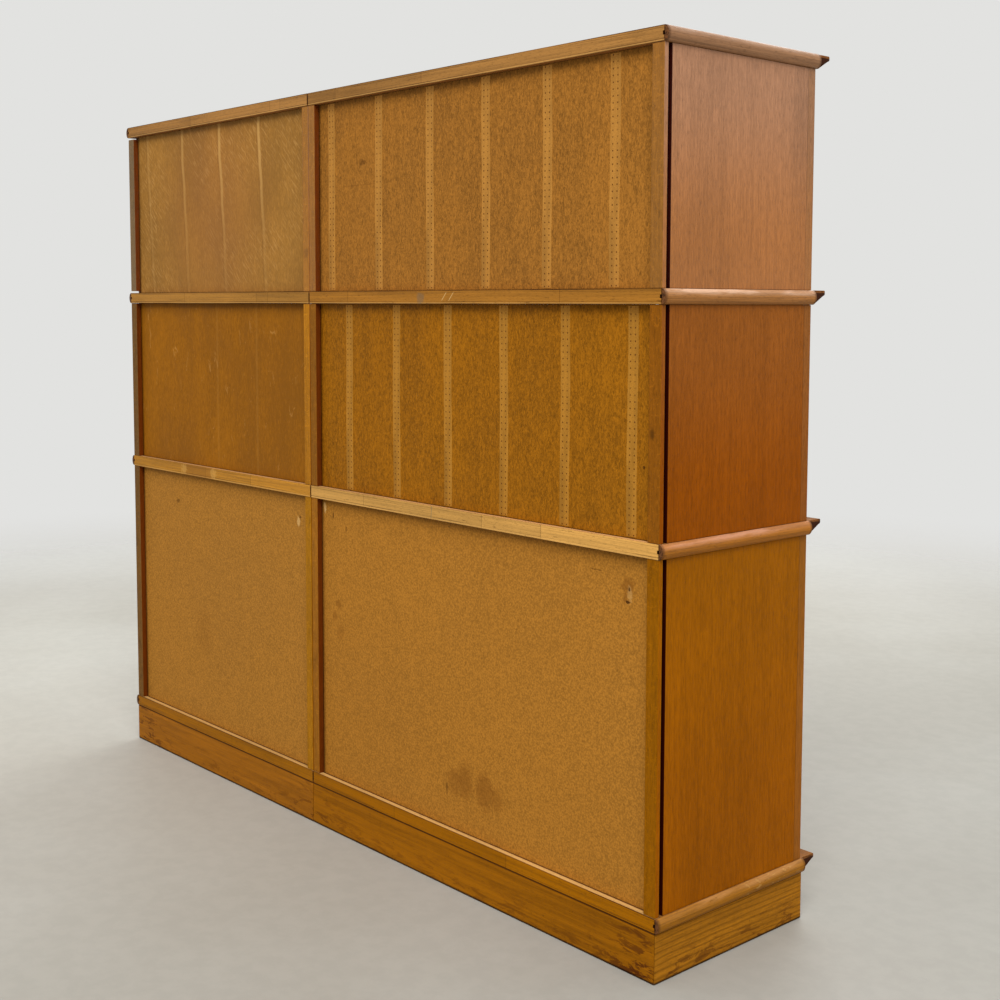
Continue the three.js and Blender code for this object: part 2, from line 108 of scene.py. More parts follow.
class Paint:
    """Writes one procedural material. Places are metres from an origin, in the object's own space."""

    def __init__(self, name, origin=(0, 0, 0), seed=0.0):
        self.material = bpy.data.materials.new(name)
        self.material.use_nodes = True
        self.tree = self.material.node_tree
        self.shader = self.tree.nodes["Principled BSDF"]
        source = self.node("ShaderNodeTexCoord")
        self.place = self.vector("SUBTRACT", source.outputs["Object"], tuple(origin))
        self.seeded = self.vector("ADD", self.place, (seed * 1.37, seed * 2.11, seed * 3.73))
        parts = self.node("ShaderNodeSeparateXYZ", [self.place])
        self.x, self.y, self.z = parts.outputs
        normal = self.node("ShaderNodeSeparateXYZ", [source.outputs["Normal"]])
        self.nx, self.ny, self.nz = normal.outputs

    def node(self, kind, inputs=(), **settings):
        made = self.tree.nodes.new(kind)
        for key, value in settings.items():
            setattr(made, key, value)
        pairs = inputs.items() if isinstance(inputs, dict) else enumerate(inputs)
        for key, value in pairs:
            self.plug(made.inputs[key], value)
        return made

    def plug(self, socket, value):
        if isinstance(value, bpy.types.NodeSocket):
            self.tree.links.new(value, socket)
        elif value is not None:
            socket.default_value = value

    def vector(self, operation, first, second):
        return self.node("ShaderNodeVectorMath", [first, second], operation=operation).outputs[0]

    def math(self, operation, first, second=0.0):
        return self.node("ShaderNodeMath", [first, second], operation=operation).outputs[0]

    def add(self, first, second):
        return self.math("ADD", first, second)

    def minus(self, first, second):
        return self.math("SUBTRACT", first, second)

    def times(self, first, second):
        return self.math("MULTIPLY", first, second)

    def most(self, first, second):
        return self.math("MAXIMUM", first, second)

    def invert(self, value):
        return self.minus(1.0, value)

    def rise(self, value, start, end, to_low=0.0, to_high=1.0):
        """Goes smoothly from to_low to to_high as value goes from start to end."""
        inputs = [value, start, end, to_low, to_high]
        return self.node("ShaderNodeMapRange", inputs, interpolation_type="SMOOTHSTEP").outputs[0]

    def band(self, value, start, end, soft):
        """1 between start and end, 0 outside, with soft edges."""
        rising = self.rise(value, start - soft, start + soft)
        falling = self.rise(value, end - soft, end + soft, 1.0, 0.0)
        return self.times(rising, falling)

    def facing(self, socket, sign=1):
        """1 on surfaces that look along that axis."""
        return self.rise(self.times(socket, float(sign)), 0.6, 0.85)

    def noise(self, stretch, detail=2.0, roughness=0.55, distortion=0.0):
        """Noise with its own count of features per metre along X, Y and Z."""
        scaled = self.vector("MULTIPLY", self.seeded, tuple(stretch))
        inputs = {"Vector": scaled, "Scale": 1.0, "Detail": detail, "Roughness": roughness,
                  "Distortion": distortion}
        return self.node("ShaderNodeTexNoise", inputs).outputs["Fac"]

    def mix(self, share, first, second):
        made = self.node("ShaderNodeMix", data_type="RGBA")
        colours = [socket for socket in made.inputs if socket.type == "RGBA"]
        self.plug(made.inputs["Factor"], share)
        self.plug(colours[0], first)
        self.plug(colours[1], second)
        return [socket for socket in made.outputs if socket.type == "RGBA"][0]

    def stain(self, colour, mask, strength, tone):
        """Lays a tone over a colour where the mask is set."""
        return self.mix(self.times(mask, strength), colour, tone)

    def scale(self, colour, value):
        """Makes a colour lighter or darker by a value."""
        made = self.node("ShaderNodeVectorMath", operation="SCALE")
        self.plug(made.inputs[0], colour[:3] if isinstance(colour, tuple) else colour)
        self.plug(made.inputs["Scale"], value)
        return made.outputs[0]

    def spot(self, across, up, centre, radii, ragged=0.0, soft=0.35):
        """Soft oval mask about a centre; ragged adds noise to its outline."""
        first = self.times(self.minus(across, centre[0]), 1 / radii[0])
        second = self.times(self.minus(up, centre[1]), 1 / radii[1])
        reach = self.math("SQRT", self.add(self.times(first, first), self.times(second, second)))
        if ragged:
            lumps = self.noise((170, 170, 170), 4, 0.65)
            reach = self.add(reach, self.times(self.minus(lumps, 0.5), ragged))
        return self.rise(reach, 1 - soft, 1 + soft, 1.0, 0.0)

    def finish(self, colour, roughness, height=None, depth=0.0004, **constants):
        """Joins colour, roughness and relief to the shader; constants go straight on its sockets."""
        self.plug(self.shader.inputs["Base Color"], colour)
        self.plug(self.shader.inputs["Roughness"], roughness)
        if height is not None:
            inputs = {"Height": height, "Distance": depth, "Strength": 1.0}
            relief = self.node("ShaderNodeBump", inputs)
            self.plug(self.shader.inputs["Normal"], relief.outputs["Normal"])
        for key, value in constants.items():
            self.shader.inputs[key.replace("_", " ")].default_value = value
        return self.material


# ------------------------------------------------------------------ oak

def along(axis, lengthwise, across):
    """Noise stretch for grain that runs along an axis."""
    return [lengthwise if name == axis else across for name in AXES]


def tint(colour, share):
    """A colour made lighter or darker."""
    return tuple(min(value * share, 1.0) for value in colour[:3]) + (1.0,)


class Oak:
    """Solid oak or oak veneer: streaks, growth lines and pores that run along one axis."""

    def __init__(self, paint, axis, spread, line_spacing=0.0, line_strength=0.5, wander=26.0, dashes=0.0):
        fibre = paint.noise(along(axis, 6, 420), 4, 0.65)
        coarse = paint.noise(along(axis, 2.2, 110), 3, 0.6)
        broad = paint.noise(along(axis, 1.2, 14), 2, 0.5)
        pores = paint.rise(paint.noise(along(axis, 90, 1300), 1), 0.58, 0.70)
        slow = paint.add(paint.times(coarse, 0.3), paint.times(broad, 0.25))
        value = paint.add(paint.times(fibre, 0.45), slow)
        if dashes:
            short = paint.noise(along(axis, 48, 330), 3, 0.6, 0.5)
            value = paint.add(paint.times(value, 1 - dashes), paint.times(short, dashes))
        if line_spacing:
            crown = paint.noise(along(axis, 2.4, 15), 3, 0.5, 0.6)
            other = paint.y if axis == "Z" else paint.z
            phase = paint.add(paint.times(other, math.tau / line_spacing), paint.times(crown, wander))
            wave = paint.math("SINE", phase)
            line = paint.times(paint.rise(wave, 0.35, 1.0), paint.rise(fibre, 0.3, 0.6, 0.5, 1.0))
            value = paint.add(value, paint.times(line, -0.12 * line_strength))
        tone = paint.rise(value, 0.34, 0.66, 1 - spread, 1 + spread)
        self.fibre = fibre
        self.shade = paint.minus(tone, paint.times(pores, 0.22))
        self.height = paint.add(paint.times(fibre, 0.25), paint.times(pores, -0.6))


# Screen colours of the boards' rear edges.
BOARD_EDGES = {
    ("wide", "base"): (163, 100, 0),
    ("wide", "middle"): (211, 158, 82),
    ("wide", "upper"): (160, 106, 37),
    ("wide", "top"): (159, 112, 57),
    ("narrow", "base"): (164, 103, 8),
    ("narrow", "middle"): (198, 136, 47),
    ("narrow", "upper"): (159, 111, 47),
    ("narrow", "top"): (163, 115, 60),
}
# Where one length of the rear edge band meets the next, as shares of the board from its -X end.
BAND_JOINTS = {
    ("wide", "base"): (0.37, 0.71),
    ("wide", "middle"): (0.28, 0.44, 0.81),
    ("wide", "upper"): (0.235, 0.86),
    ("wide", "top"): (0.617, 0.90),
    ("narrow", "base"): (0.42,),
    ("narrow", "middle"): (0.30, 0.55),
    ("narrow", "upper"): (0.20, 0.26, 0.66),
    ("narrow", "top"): (0.13, 0.18, 0.61),
}
VENEER_FACE = srgb(150, 98, 48)
DARK_LINE = srgb(56, 26, 8)
LEDGE = {"base": (210, 164, 98), "middle": (206, 154, 98), "upper": (190, 142, 92), "top": (150, 98, 48)}
GROOVE_DEPTH = 0.0038  # of the groove in each end of a board, with a little to spare
LEDGE_BAND = (0.0011, 0.0095)  # bare strip of the top face behind the back panel, from the rear edge
LEDGE_CREASES = ((0.0, 0.0010), (0.0098, 0.0125))  # dark lines along both sides of that strip
LOWER_SEAM = (0.0030, 0.0038)  # glue seams in the rear edge, from the underside
UPPER_SEAM = (0.0188, 0.0194)


def board_marks(p, colour, rear, column, level):
    """What only one board's rear edge has: a blue stain and scratches, a mended stretch, or a drawn line."""
    if (column, level) == ("wide", "upper"):
        blue = p.times(p.spot(p.x, p.z, (0.559, 0.010), (0.010, 0.009), 1.4), rear)
        colour = p.stain(colour, blue, 0.38, srgb(84, 92, 84))
        for place in (0.505, 0.486):
            slant = p.add(p.x, p.times(p.z, 0.9))
            scratch = p.times(p.band(slant, place, place + 0.0014, 0.0008), p.band(p.z, 0.006, 0.019, 0.002))
            colour = p.stain(colour, p.times(scratch, rear), 0.8, srgb(226, 190, 128))
    if (column, level) == ("narrow", "middle"):
        mended = p.times(p.band(p.x, 0.366, 0.492, 0.004), rear)
        colour = p.stain(colour, mended, 0.35, srgb(140, 86, 30))
        for place in (0.491, 0.367):
            patch = p.times(p.spot(p.x, p.z, (place, 0.013), (0.012, 0.011), 3.0), rear)
            colour = p.stain(colour, patch, 0.45, srgb(214, 164, 84))
    if (column, level) == ("wide", "middle"):
        mark = p.times(p.band(p.add(p.x, p.times(p.z, 0.1)), 0.530, 0.5315, 0.0008), rear)
        colour = p.stain(colour, mark, 0.6, srgb(96, 104, 92))
    return colour


def board_material(name, column, level, seed):
    """Shelf board: banded rear edge in golden oak, pale bare ledge behind the back, brown nose and ends."""
    box_low, box_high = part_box(name)
    p = Paint(name, box_low, seed)
    grain = Oak(p, "X", 0.26)
    rear = p.facing(p.ny)
    top = p.facing(p.nz)
    length = box_high.x - box_low.x
    depth = box_high.y - box_low.y
    tall = box_high.z - box_low.z
    edge = srgb(*BOARD_EDGES[column, level])
    colour = p.mix(rear, VENEER_FACE, edge)
    from_rear = p.minus(depth, p.y)
    bare = p.times(top, p.band(from_rear, *LEDGE_BAND, 0.0006))
    colour = p.mix(bare, colour, srgb(*LEDGE[level]))
    colour = p.scale(colour, grain.shade)
    for start, end in LEDGE_CREASES:
        crease = p.times(top, p.band(from_rear, start, end, 0.0006))
        colour = p.stain(colour, crease, 0.6, DARK_LINE)
    order = random.Random(int(seed * 100))
    for share in BAND_JOINTS[column, level]:
        joint = share * length
        step = p.rise(p.x, joint - 0.0003, joint + 0.0003, 1.0, order.uniform(0.86, 1.12))
        colour = p.scale(colour, p.add(p.times(p.minus(step, 1.0), rear), 1.0))
        crack = p.times(p.band(p.x, joint - 0.0004, joint + 0.0004, 0.0004), rear)
        colour = p.stain(colour, crack, 0.7, DARK_LINE)
    # A thin veneer shows under the band along the bottom of the rear edge.
    seam = p.times(p.band(p.z, *LOWER_SEAM, 0.0004), rear)
    broken = p.rise(p.noise((7, 7, 7), 3), 0.42, 0.58)
    colour = p.stain(colour, seam, p.add(p.times(broken, 0.6), 0.2), DARK_LINE)
    if level != "base":
        pale = p.times(p.rise(p.z, 0.0022, 0.0030, 1.0, 0.0), rear)
        colour = p.stain(colour, pale, 0.4, srgb(214, 164, 92))
    if level != "middle":
        arris = p.most(p.rise(p.z, 0.0006, 0.0016, 1.0, 0.0), p.rise(p.z, tall - 0.0018, tall - 0.0007))
        colour = p.stain(colour, p.times(arris, rear), p.add(p.times(broken, 0.4), 0.5), DARK_LINE)
    upper_line = p.times(p.band(p.z, *UPPER_SEAM, 0.0004), rear)
    colour = p.stain(colour, upper_line, p.times(broken, 0.5), DARK_LINE)
    # Stains, ground-in dirt and dark eased corners.
    stains = p.times(p.rise(p.noise((6, 20, 40), 3, 0.6), 0.56, 0.70), rear)
    colour = p.stain(colour, stains, 0.30, tint(edge, 0.45))
    dirt = p.times(p.rise(p.noise((50, 60, 320), 3, 0.7), 0.63, 0.72), rear)
    colour = p.stain(colour, dirt, 0.5, DARK_LINE)
    for place in (0.0, length):
        near_end = p.band(p.x, place - 0.0012, place + 0.0012, 0.0006)
        colour = p.stain(colour, p.times(near_end, rear), 0.75, DARK_LINE)
    colour = board_marks(p, colour, rear, column, level)
    # End grain and the darkened front nose.
    nose = p.rise(p.y, 0.012, 0.034, 0.8, 1.0)
    colour = p.scale(colour, nose)
    ends = p.most(p.facing(p.nx), p.facing(p.nx, -1))
    end_shade = p.rise(p.noise((300, 70, 260), 3, 0.7), 0.35, 0.65, 0.5, 1.5)
    colour = p.mix(ends, colour, p.scale(srgb(118, 72, 34), end_shade))
    # Painted shade inside the groove in each end of the board.
    from_end = p.math("MINIMUM", p.x, p.minus(length, p.x))
    groove = p.times(p.rise(from_end, GROOVE_DEPTH - 0.0003, GROOVE_DEPTH, 1.0, 0.0),
                     p.band(p.z, 0.004, tall - 0.004, 0.0004))
    colour = p.stain(colour, groove, p.invert(rear), DARK_LINE)
    height = p.add(grain.height, p.times(p.add(seam, upper_line), -0.8))
    gloss = p.rise(grain.fibre, 0.3, 0.7, 0.46, 0.62)
    return p.finish(colour, gloss, height, 0.0003, Specular_IOR_Level=0.05)


# Screen colours of each end moulding: its body, greyer on the higher levels as a painted reflection of the
# sky, and the painted highlight on its crest.
MOULDING_TONES = {
    "base": ((148, 94, 16), (196, 140, 84)),
    "middle": ((168, 104, 32), (216, 158, 128)),
    "upper": ((160, 106, 54), (238, 200, 172)),
    "top": ((144, 104, 72), (172, 142, 122)),
}


def moulding_material(name, column, level, seed):
    """Half-round moulding: straw-brown oak along its length, painted pale on top as a highlight, dark at both
    ends.
    """
    box_low, box_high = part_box(name)
    p = Paint(name, box_low, seed)
    grain = Oak(p, "Y", 0.34)
    depth = box_high.y - box_low.y
    body, worn = MOULDING_TONES[level]
    middle = srgb(*body)
    colour = p.scale(middle, grain.shade)
    # Painted highlight on the upward-facing crest, broken into patches.
    crest = p.rise(p.nz, -0.05, 0.65)
    rubbed = p.rise(p.noise((24, 7, 60), 3, 0.65), 0.42, 0.60)
    colour = p.stain(colour, crest, p.add(p.times(rubbed, 0.4), 0.22), srgb(*worn))
    nicks = p.rise(p.noise((150, 60, 200), 3, 0.7), 0.64, 0.72)
    colour = p.stain(colour, nicks, 0.45, tint(middle, 0.35))
    if (column, level) == ("wide", "base"):
        chips = p.rise(p.noise((160, 75, 160), 2, 0.6), 0.60, 0.66)
        chips = p.times(chips, p.band(p.y, 0.02, 0.16, 0.02))
        colour = p.stain(colour, chips, 0.3, srgb(212, 166, 96))
    for place in (0.0, depth):
        grime = p.band(p.y, place - 0.004, place + 0.004, 0.003)
        colour = p.stain(colour, grime, 0.6, srgb(70, 40, 20))
    ends = p.most(p.facing(p.ny), p.facing(p.ny, -1))
    end_shade = p.rise(p.noise((320, 60, 320), 3, 0.7), 0.35, 0.65, 0.45, 1.6)
    colour = p.mix(ends, colour, p.scale(srgb(92, 56, 28), end_shade))
    colour = p.mix(p.facing(p.nx, -OUTER[column]), colour, DARK_LINE)
    gloss = p.rise(grain.fibre, 0.3, 0.7, 0.34, 0.50)
    return p.finish(colour, gloss, grain.height, 0.0003, Specular_IOR_Level=0.08)


# Outer face of the side panels: colour at the foot and at the head of each bay. The paler, greyer head
# colours and the pinkish upper bay are a painted reflection.
SIDE_FACES_AND_REFLECTION = {
    "upper": ((163, 103, 52), (161, 115, 84)),
    "middle": ((142, 72, 0), (145, 83, 28)),
    "lower": ((149, 82, 0), (153, 89, 0)),
}
# Rear edges of the side panels.
POSTS = {
    ("wide", "outer"): {"lower": (142, 86, 2), "middle": (140, 83, 14), "upper": (142, 92, 30)},
    ("wide", "inner"): {"lower": (155, 98, 24), "middle": (136, 85, 20), "upper": (148, 95, 30)},
    ("narrow", "inner"): {"lower": (165, 109, 16), "middle": (173, 112, 24), "upper": (156, 101, 28)},
    ("narrow", "outer"): {"lower": (112, 76, 30), "middle": (112, 78, 36), "upper": (116, 88, 50)},
}
# Painted shade on the recessed inner face of a side panel, behind the back panel.
REVEAL_SHADE = srgb(104, 48, 8)
# Painted shade in the jointing groove, and in the corner line along a back panel's sides.
KERF_SHADE = srgb(50, 10, 4)
KERF_START, KERF_END = 0.0085, 0.0160  # jointing groove, from the panel's rear edge
LIPPING = 0.018  # depth of the solid lipping along the panel's front edge


def side_material(name, column, bay, place, seed):
    """Side panel: upright veneer outside, painted paler towards its head as a reflection, solid wood front
    and rear, painted shade in the jointing groove.
    """
    box_low, box_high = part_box(name)
    p = Paint(name, box_low, seed)
    tall = box_high.z - box_low.z
    depth = box_high.y - box_low.y
    wide = box_high.x - box_low.x
    grain = Oak(p, "Z", 0.20, dashes=0.45)
    foot, head = SIDE_FACES_AND_REFLECTION[bay]
    # Painted reflection: the face gets paler towards the head of each bay.
    share = p.rise(p.z, tall * 0.15, tall * 0.98)
    cloud = p.noise((5, 5, 3), 3, 0.55)
    veneer = p.mix(share, srgb(*foot), srgb(*head))
    post = srgb(*POSTS[column, place][bay])
    from_rear = p.minus(depth, p.y)
    rear = p.times(p.facing(p.ny), p.rise(from_rear, 0.003, 0.004, 1.0, 0.0))
    colour = p.mix(rear, veneer, post)
    front = p.rise(p.y, LIPPING - 0.0004, LIPPING + 0.0004, 1.0, 0.0)
    colour = p.stain(colour, front, 0.35, srgb(134, 92, 50))
    colour = p.scale(colour, p.rise(cloud, 0.35, 0.65, 0.93, 1.07))
    colour = p.scale(colour, grain.shade)
    # Silver grain on the solid edge: short pale curls across the grain.
    curls = p.rise(p.noise((130, 130, 210), 2, 0.6, 1.0), 0.56, 0.66)
    colour = p.stain(colour, p.times(curls, rear), 0.4, tint(post, 1.6))
    knots = p.rise(p.noise((60, 60, 26), 3, 0.65), 0.58, 0.72)
    colour = p.stain(colour, p.times(knots, rear), 0.5, tint(post, 0.45))
    if (column, bay, place) == ("wide", "middle", "outer"):
        knot = p.spot(p.x, p.z, (0.0166, 0.160), (0.0045, 0.008), 0.8, 0.6)
        colour = p.stain(colour, p.times(knot, rear), 0.7, srgb(70, 42, 8))
    line = p.band(p.y, LIPPING - 0.0004, LIPPING + 0.0004, 0.0004)
    colour = p.stain(colour, line, 0.6, DARK_LINE)
    outer_x = 0.0 if OUTER[column] * (1 if place == "outer" else -1) < 0 else wide
    from_face = p.math("ABSOLUTE", p.minus(p.x, outer_x))
    # Painted shade in the jointing groove.
    groove = p.band(from_rear, KERF_START - 0.0006, KERF_END + 0.0006, 0.0004)
    groove = p.times(groove, p.rise(from_face, 0.008, 0.010, 1.0, 0.0))
    colour = p.mix(groove, colour, KERF_SHADE)
    # The strip of side face between the inner arris and the back panel is painted dark as shade in the
    # recess.
    behind_back = p.rise(from_rear, 0.0115, 0.0125, 1.0, 0.0)
    inner_face = p.rise(from_face, wide - 0.002, wide - 0.001)
    reveal = p.times(p.times(behind_back, inner_face), p.invert(rear))
    colour = p.mix(reveal, colour, p.scale(REVEAL_SHADE, grain.shade))
    bruises = p.rise(p.noise((70, 70, 22), 3, 0.7), 0.66, 0.76)
    colour = p.stain(colour, bruises, 0.22, srgb(92, 48, 14))
    gloss = p.rise(cloud, 0.3, 0.7, 0.34, 0.46)
    level = 0.16 if bay == "upper" else 0.03
    return p.finish(colour, gloss, grain.height, 0.00025, Specular_IOR_Level=level)


def plinth_material(name, column, place, seed):
    """Plinth board: flat-sawn oak, with wavy growth lines on the end and dark scuffs along the rear."""
    box_low, box_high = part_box(name)
    p = Paint(name, box_low, seed)
    length = box_high.x - box_low.x
    axis = "Y" if place == "end" else "X"
    if place == "end":
        grain = Oak(p, axis, 0.30, line_spacing=0.0100, line_strength=1.5, wander=20.0, dashes=0.2)
        middle = srgb(164, 105, 20)
    else:
        grain = Oak(p, axis, 0.24, line_spacing=0.024)
        middle = srgb(154, 94, 6) if column == "wide" else srgb(162, 100, 20)
    colour = p.scale(middle, grain.shade)
    scuffs = p.rise(p.noise(along(axis, 22, 80), 4, 0.7, 0.6), 0.51, 0.60)
    low_down = p.rise(p.z, 0.0, 0.06, 0.6, 0.08)
    if place == "back":
        outer_end = 0.0 if OUTER[column] < 0 else length
        from_outer = p.math("ABSOLUTE", p.minus(p.x, outer_end))
        low_down = p.add(p.times(low_down, 0.6), p.rise(from_outer, 0.02, 0.16, 0.6, 0.0))
        low_down = p.add(low_down, p.rise(from_outer, length - 0.12, length, 0.0, 0.3))
    colour = p.stain(colour, scuffs, low_down, srgb(80, 36, 8))
    # Painted contact shadow along the foot of the plinth.
    foot = p.rise(p.z, 0.0015, 0.005, 0.9, 0.0)
    colour = p.mix(foot, colour, srgb(34, 18, 8))
    # Painted shade in the joint under the base board, along the plinth's top edge.
    tall = box_high.z - box_low.z
    colour = p.mix(p.rise(p.z, tall - 0.0024, tall - 0.0012, 0.0, 0.85), colour, DARK_LINE)
    dents = p.rise(p.noise((180, 180, 180), 2, 0.6), 0.70, 0.76)
    colour = p.stain(colour, dents, 0.5, srgb(60, 32, 10))
    gloss = p.rise(grain.fibre, 0.3, 0.7, 0.46, 0.62)
    return p.finish(colour, gloss, p.add(grain.height, p.times(dents, -0.8)), 0.0003, Specular_IOR_Level=0.04)


DOOR_OAK = srgb(158, 98, 42)
STILE = 0.042  # width of the upright parts of a door frame


def door_material(name, kind, seed):
    """Door frame with upright stiles and level rails, or a sliding door of upright veneer."""
    box_low, box_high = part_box(name)
    p = Paint(name, box_low, seed)
    if kind == "slider":
        upright = Oak(p, "Z", 0.20, line_spacing=0.014, line_strength=0.7, wander=12.0, dashes=0.35)
        colour = p.scale(DOOR_OAK, upright.shade)
        height = upright.height
    else:
        upright = Oak(p, "Z", 0.26)
        level = Oak(p, "X", 0.26)
        width = box_high.x - box_low.x
        in_rail = p.band(p.x, STILE, width - STILE, 0.0002)
        colour = p.mix(in_rail, p.scale(DOOR_OAK, upright.shade), p.scale(tint(DOOR_OAK, 0.94), level.shade))
        joints = p.most(p.band(p.x, STILE - 0.0003, STILE + 0.0003, 0.0002),
                        p.band(p.x, width - STILE - 0.0003, width - STILE + 0.0003, 0.0002))
        colour = p.stain(colour, joints, 0.7, DARK_LINE)
        height = p.add(level.height, p.times(joints, -0.6))
    handled = p.rise(p.noise((12, 12, 12), 3, 0.6), 0.54, 0.72)
    colour = p.stain(colour, handled, 0.12, srgb(106, 58, 22))
    gloss = p.rise(upright.fibre, 0.3, 0.7, 0.30, 0.44)
    return p.finish(colour, gloss, height, 0.00025, Specular_IOR_Level=0.3)


# ------------------------------------------------------------------ backs

PLYWOOD_TONES = {
    ("wide", "upper"): (150, 98, 36),
    ("wide", "middle"): (148, 92, 13),
    ("narrow", "upper"): (162, 114, 51),
    ("narrow", "middle"): (154, 96, 18),
}


PANEL_GROOVE = 0.0057  # how far a back panel runs into the side panels


def darken_panel_edges(p, colour, width, tall):
    """Painted shade where a back panel meets the sides, a darker margin there, and painted shadow under the
    board above.
    """
    for inner in (p.x, p.minus(width, p.x)):
        margin = p.rise(inner, PANEL_GROOVE + 0.005, PANEL_GROOVE + 0.008, 0.72, 1.0)
        colour = p.scale(colour, margin)
        colour = p.mix(p.rise(inner, PANEL_GROOVE + 0.0012, PANEL_GROOVE + 0.0024, 0.75, 0.0), colour, KERF_SHADE)
    shade = p.rise(p.z, tall - 0.014, tall - 0.004, 1.0, 0.62)
    return p.scale(colour, shade)


def plywood_marks(p, colour, width, column, bay):
    """What only one upper back has: sanding scratches and veneer ridges, scuffs, a knot or a nail hole."""
    if (column, bay) == ("narrow", "upper"):
        lengthwise = p.times(p.add(p.x, p.z), 26.0)
        crosswise = p.times(p.minus(p.x, p.z), 190.0)
        slanted = p.node("ShaderNodeCombineXYZ", [lengthwise, 0.0, crosswise]).outputs[0]
        inputs = {"Vector": slanted, "Scale": 1.0, "Detail": 3.0}
        scratches = p.node("ShaderNodeTexNoise", inputs).outputs["Fac"]
        sanded = p.rise(p.noise((5, 5, 5), 3), 0.40, 0.60)
        share = p.times(p.rise(scratches, 0.50, 0.66), p.times(sanded, 0.42))
        colour = p.mix(share, colour, srgb(200, 150, 84))
        rosy = p.spot(p.x, p.z, (width * 0.52, 0.17), (0.16, 0.18), 0.6, 0.8)
        colour = p.stain(colour, rosy, 0.30, srgb(158, 98, 56))
        for centre, top_share in ((0.153, 0.66), (0.306, 0.62), (0.462, 0.42), (0.617, 0.22)):
            wander = p.times(p.minus(p.noise((1, 1, 9), 3), 0.5), 0.014)
            lean = p.times(p.z, 0.075)
            place = p.add(p.minus(p.x, lean), wander)
            ridge = p.band(place, centre - 0.0045, centre + 0.0045, 0.003)
            fade = p.rise(p.z, 0.04, 0.34, 0.12, top_share)
            colour = p.stain(colour, ridge, fade, srgb(208, 160, 92))
            shadow = p.band(place, centre + 0.006, centre + 0.008, 0.002)
            colour = p.stain(colour, shadow, 0.25, DARK_LINE)
    if (column, bay) == ("narrow", "middle"):
        for centre in (0.19, 0.345):
            ridge = p.band(p.x, centre, centre + 0.006, 0.003)
            colour = p.stain(colour, ridge, 0.10, srgb(206, 150, 70))
        scuffs = p.rise(p.noise((50, 50, 26), 4, 0.7, 0.8), 0.62, 0.72)
        colour = p.stain(colour, scuffs, 0.35, srgb(206, 150, 76))
    if (column, bay) == ("wide", "upper"):
        knot = p.spot(p.x, p.z, (0.725, 0.232), (0.009, 0.005), 2.5)
        colour = p.stain(colour, knot, 0.5, srgb(74, 40, 8))
        scrape = p.times(p.band(p.z, 0.1915, 0.1925, 0.0008), p.band(p.x, 0.67, 0.80, 0.02))
        colour = p.stain(colour, scrape, 0.4, srgb(82, 44, 10))
    if (column, bay) == ("wide", "middle"):
        hole = p.spot(p.x, p.z, (0.0236, 0.108), (0.002, 0.003), 0.6)
        colour = p.stain(colour, hole, 0.85, srgb(48, 20, 4))
    return colour


def plywood_material(name, column, bay, seed):
    """Back panel of rough veneer: short upright flecks, flame figure, clouds and old scratches."""
    box_low, box_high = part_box(name)
    width, tall = box_high.x - box_low.x, box_high.z - box_low.z
    p = Paint(name, box_low, seed)
    coarse = column == "wide"
    fleck = p.noise((390, 390, 170) if coarse else (300, 300, 90), 4, 0.65, 1.0)
    flame = p.noise((110, 110, 34), 3, 0.6, 1.2)
    clouds = p.noise((8, 8, 5), 4, 0.6)
    streaks = p.noise((34, 34, 1.6), 3, 0.6)
    value = p.add(p.times(fleck, 0.66 if coarse else 0.40), p.times(flame, 0.14))
    value = p.add(value, p.add(p.times(clouds, 0.12 if coarse else 0.3), p.times(streaks, 0.08)))
    spread = 0.40 if coarse else 0.26
    shade = p.rise(value, 0.36, 0.64, 1 - spread, 1 + spread)
    middle = srgb(*PLYWOOD_TONES[column, bay])
    colour = p.scale(middle, shade)
    specks = p.rise(p.noise((260, 260, 140), 2, 0.6), 0.64, 0.74)
    colour = p.stain(colour, specks, 0.25 if coarse else 0.15, tint(middle, 0.4))
    scrapes = p.rise(p.noise((26, 26, 18), 4, 0.7, 1.0), 0.62, 0.74)
    colour = p.stain(colour, scrapes, 0.25 if coarse else 0.1, tint(middle, 1.5))
    height = p.add(p.times(fleck, 0.5), p.times(specks, -0.6))
    colour = plywood_marks(p, colour, width, column, bay)
    # Painted shade along the sides and painted shadow under the board above.
    colour = darken_panel_edges(p, colour, width, tall)
    gloss = p.rise(clouds, 0.3, 0.7, 0.55, 0.72)
    return p.finish(colour, gloss, height, 0.0003, Specular_IOR_Level=0.04)


HARDBOARD_TONES = {"wide": (170, 114, 41), "narrow": (169, 115, 44)}
SMUDGE = srgb(112, 62, 14)
PALE = srgb(222, 178, 112)
HOLE = srgb(52, 22, 4)
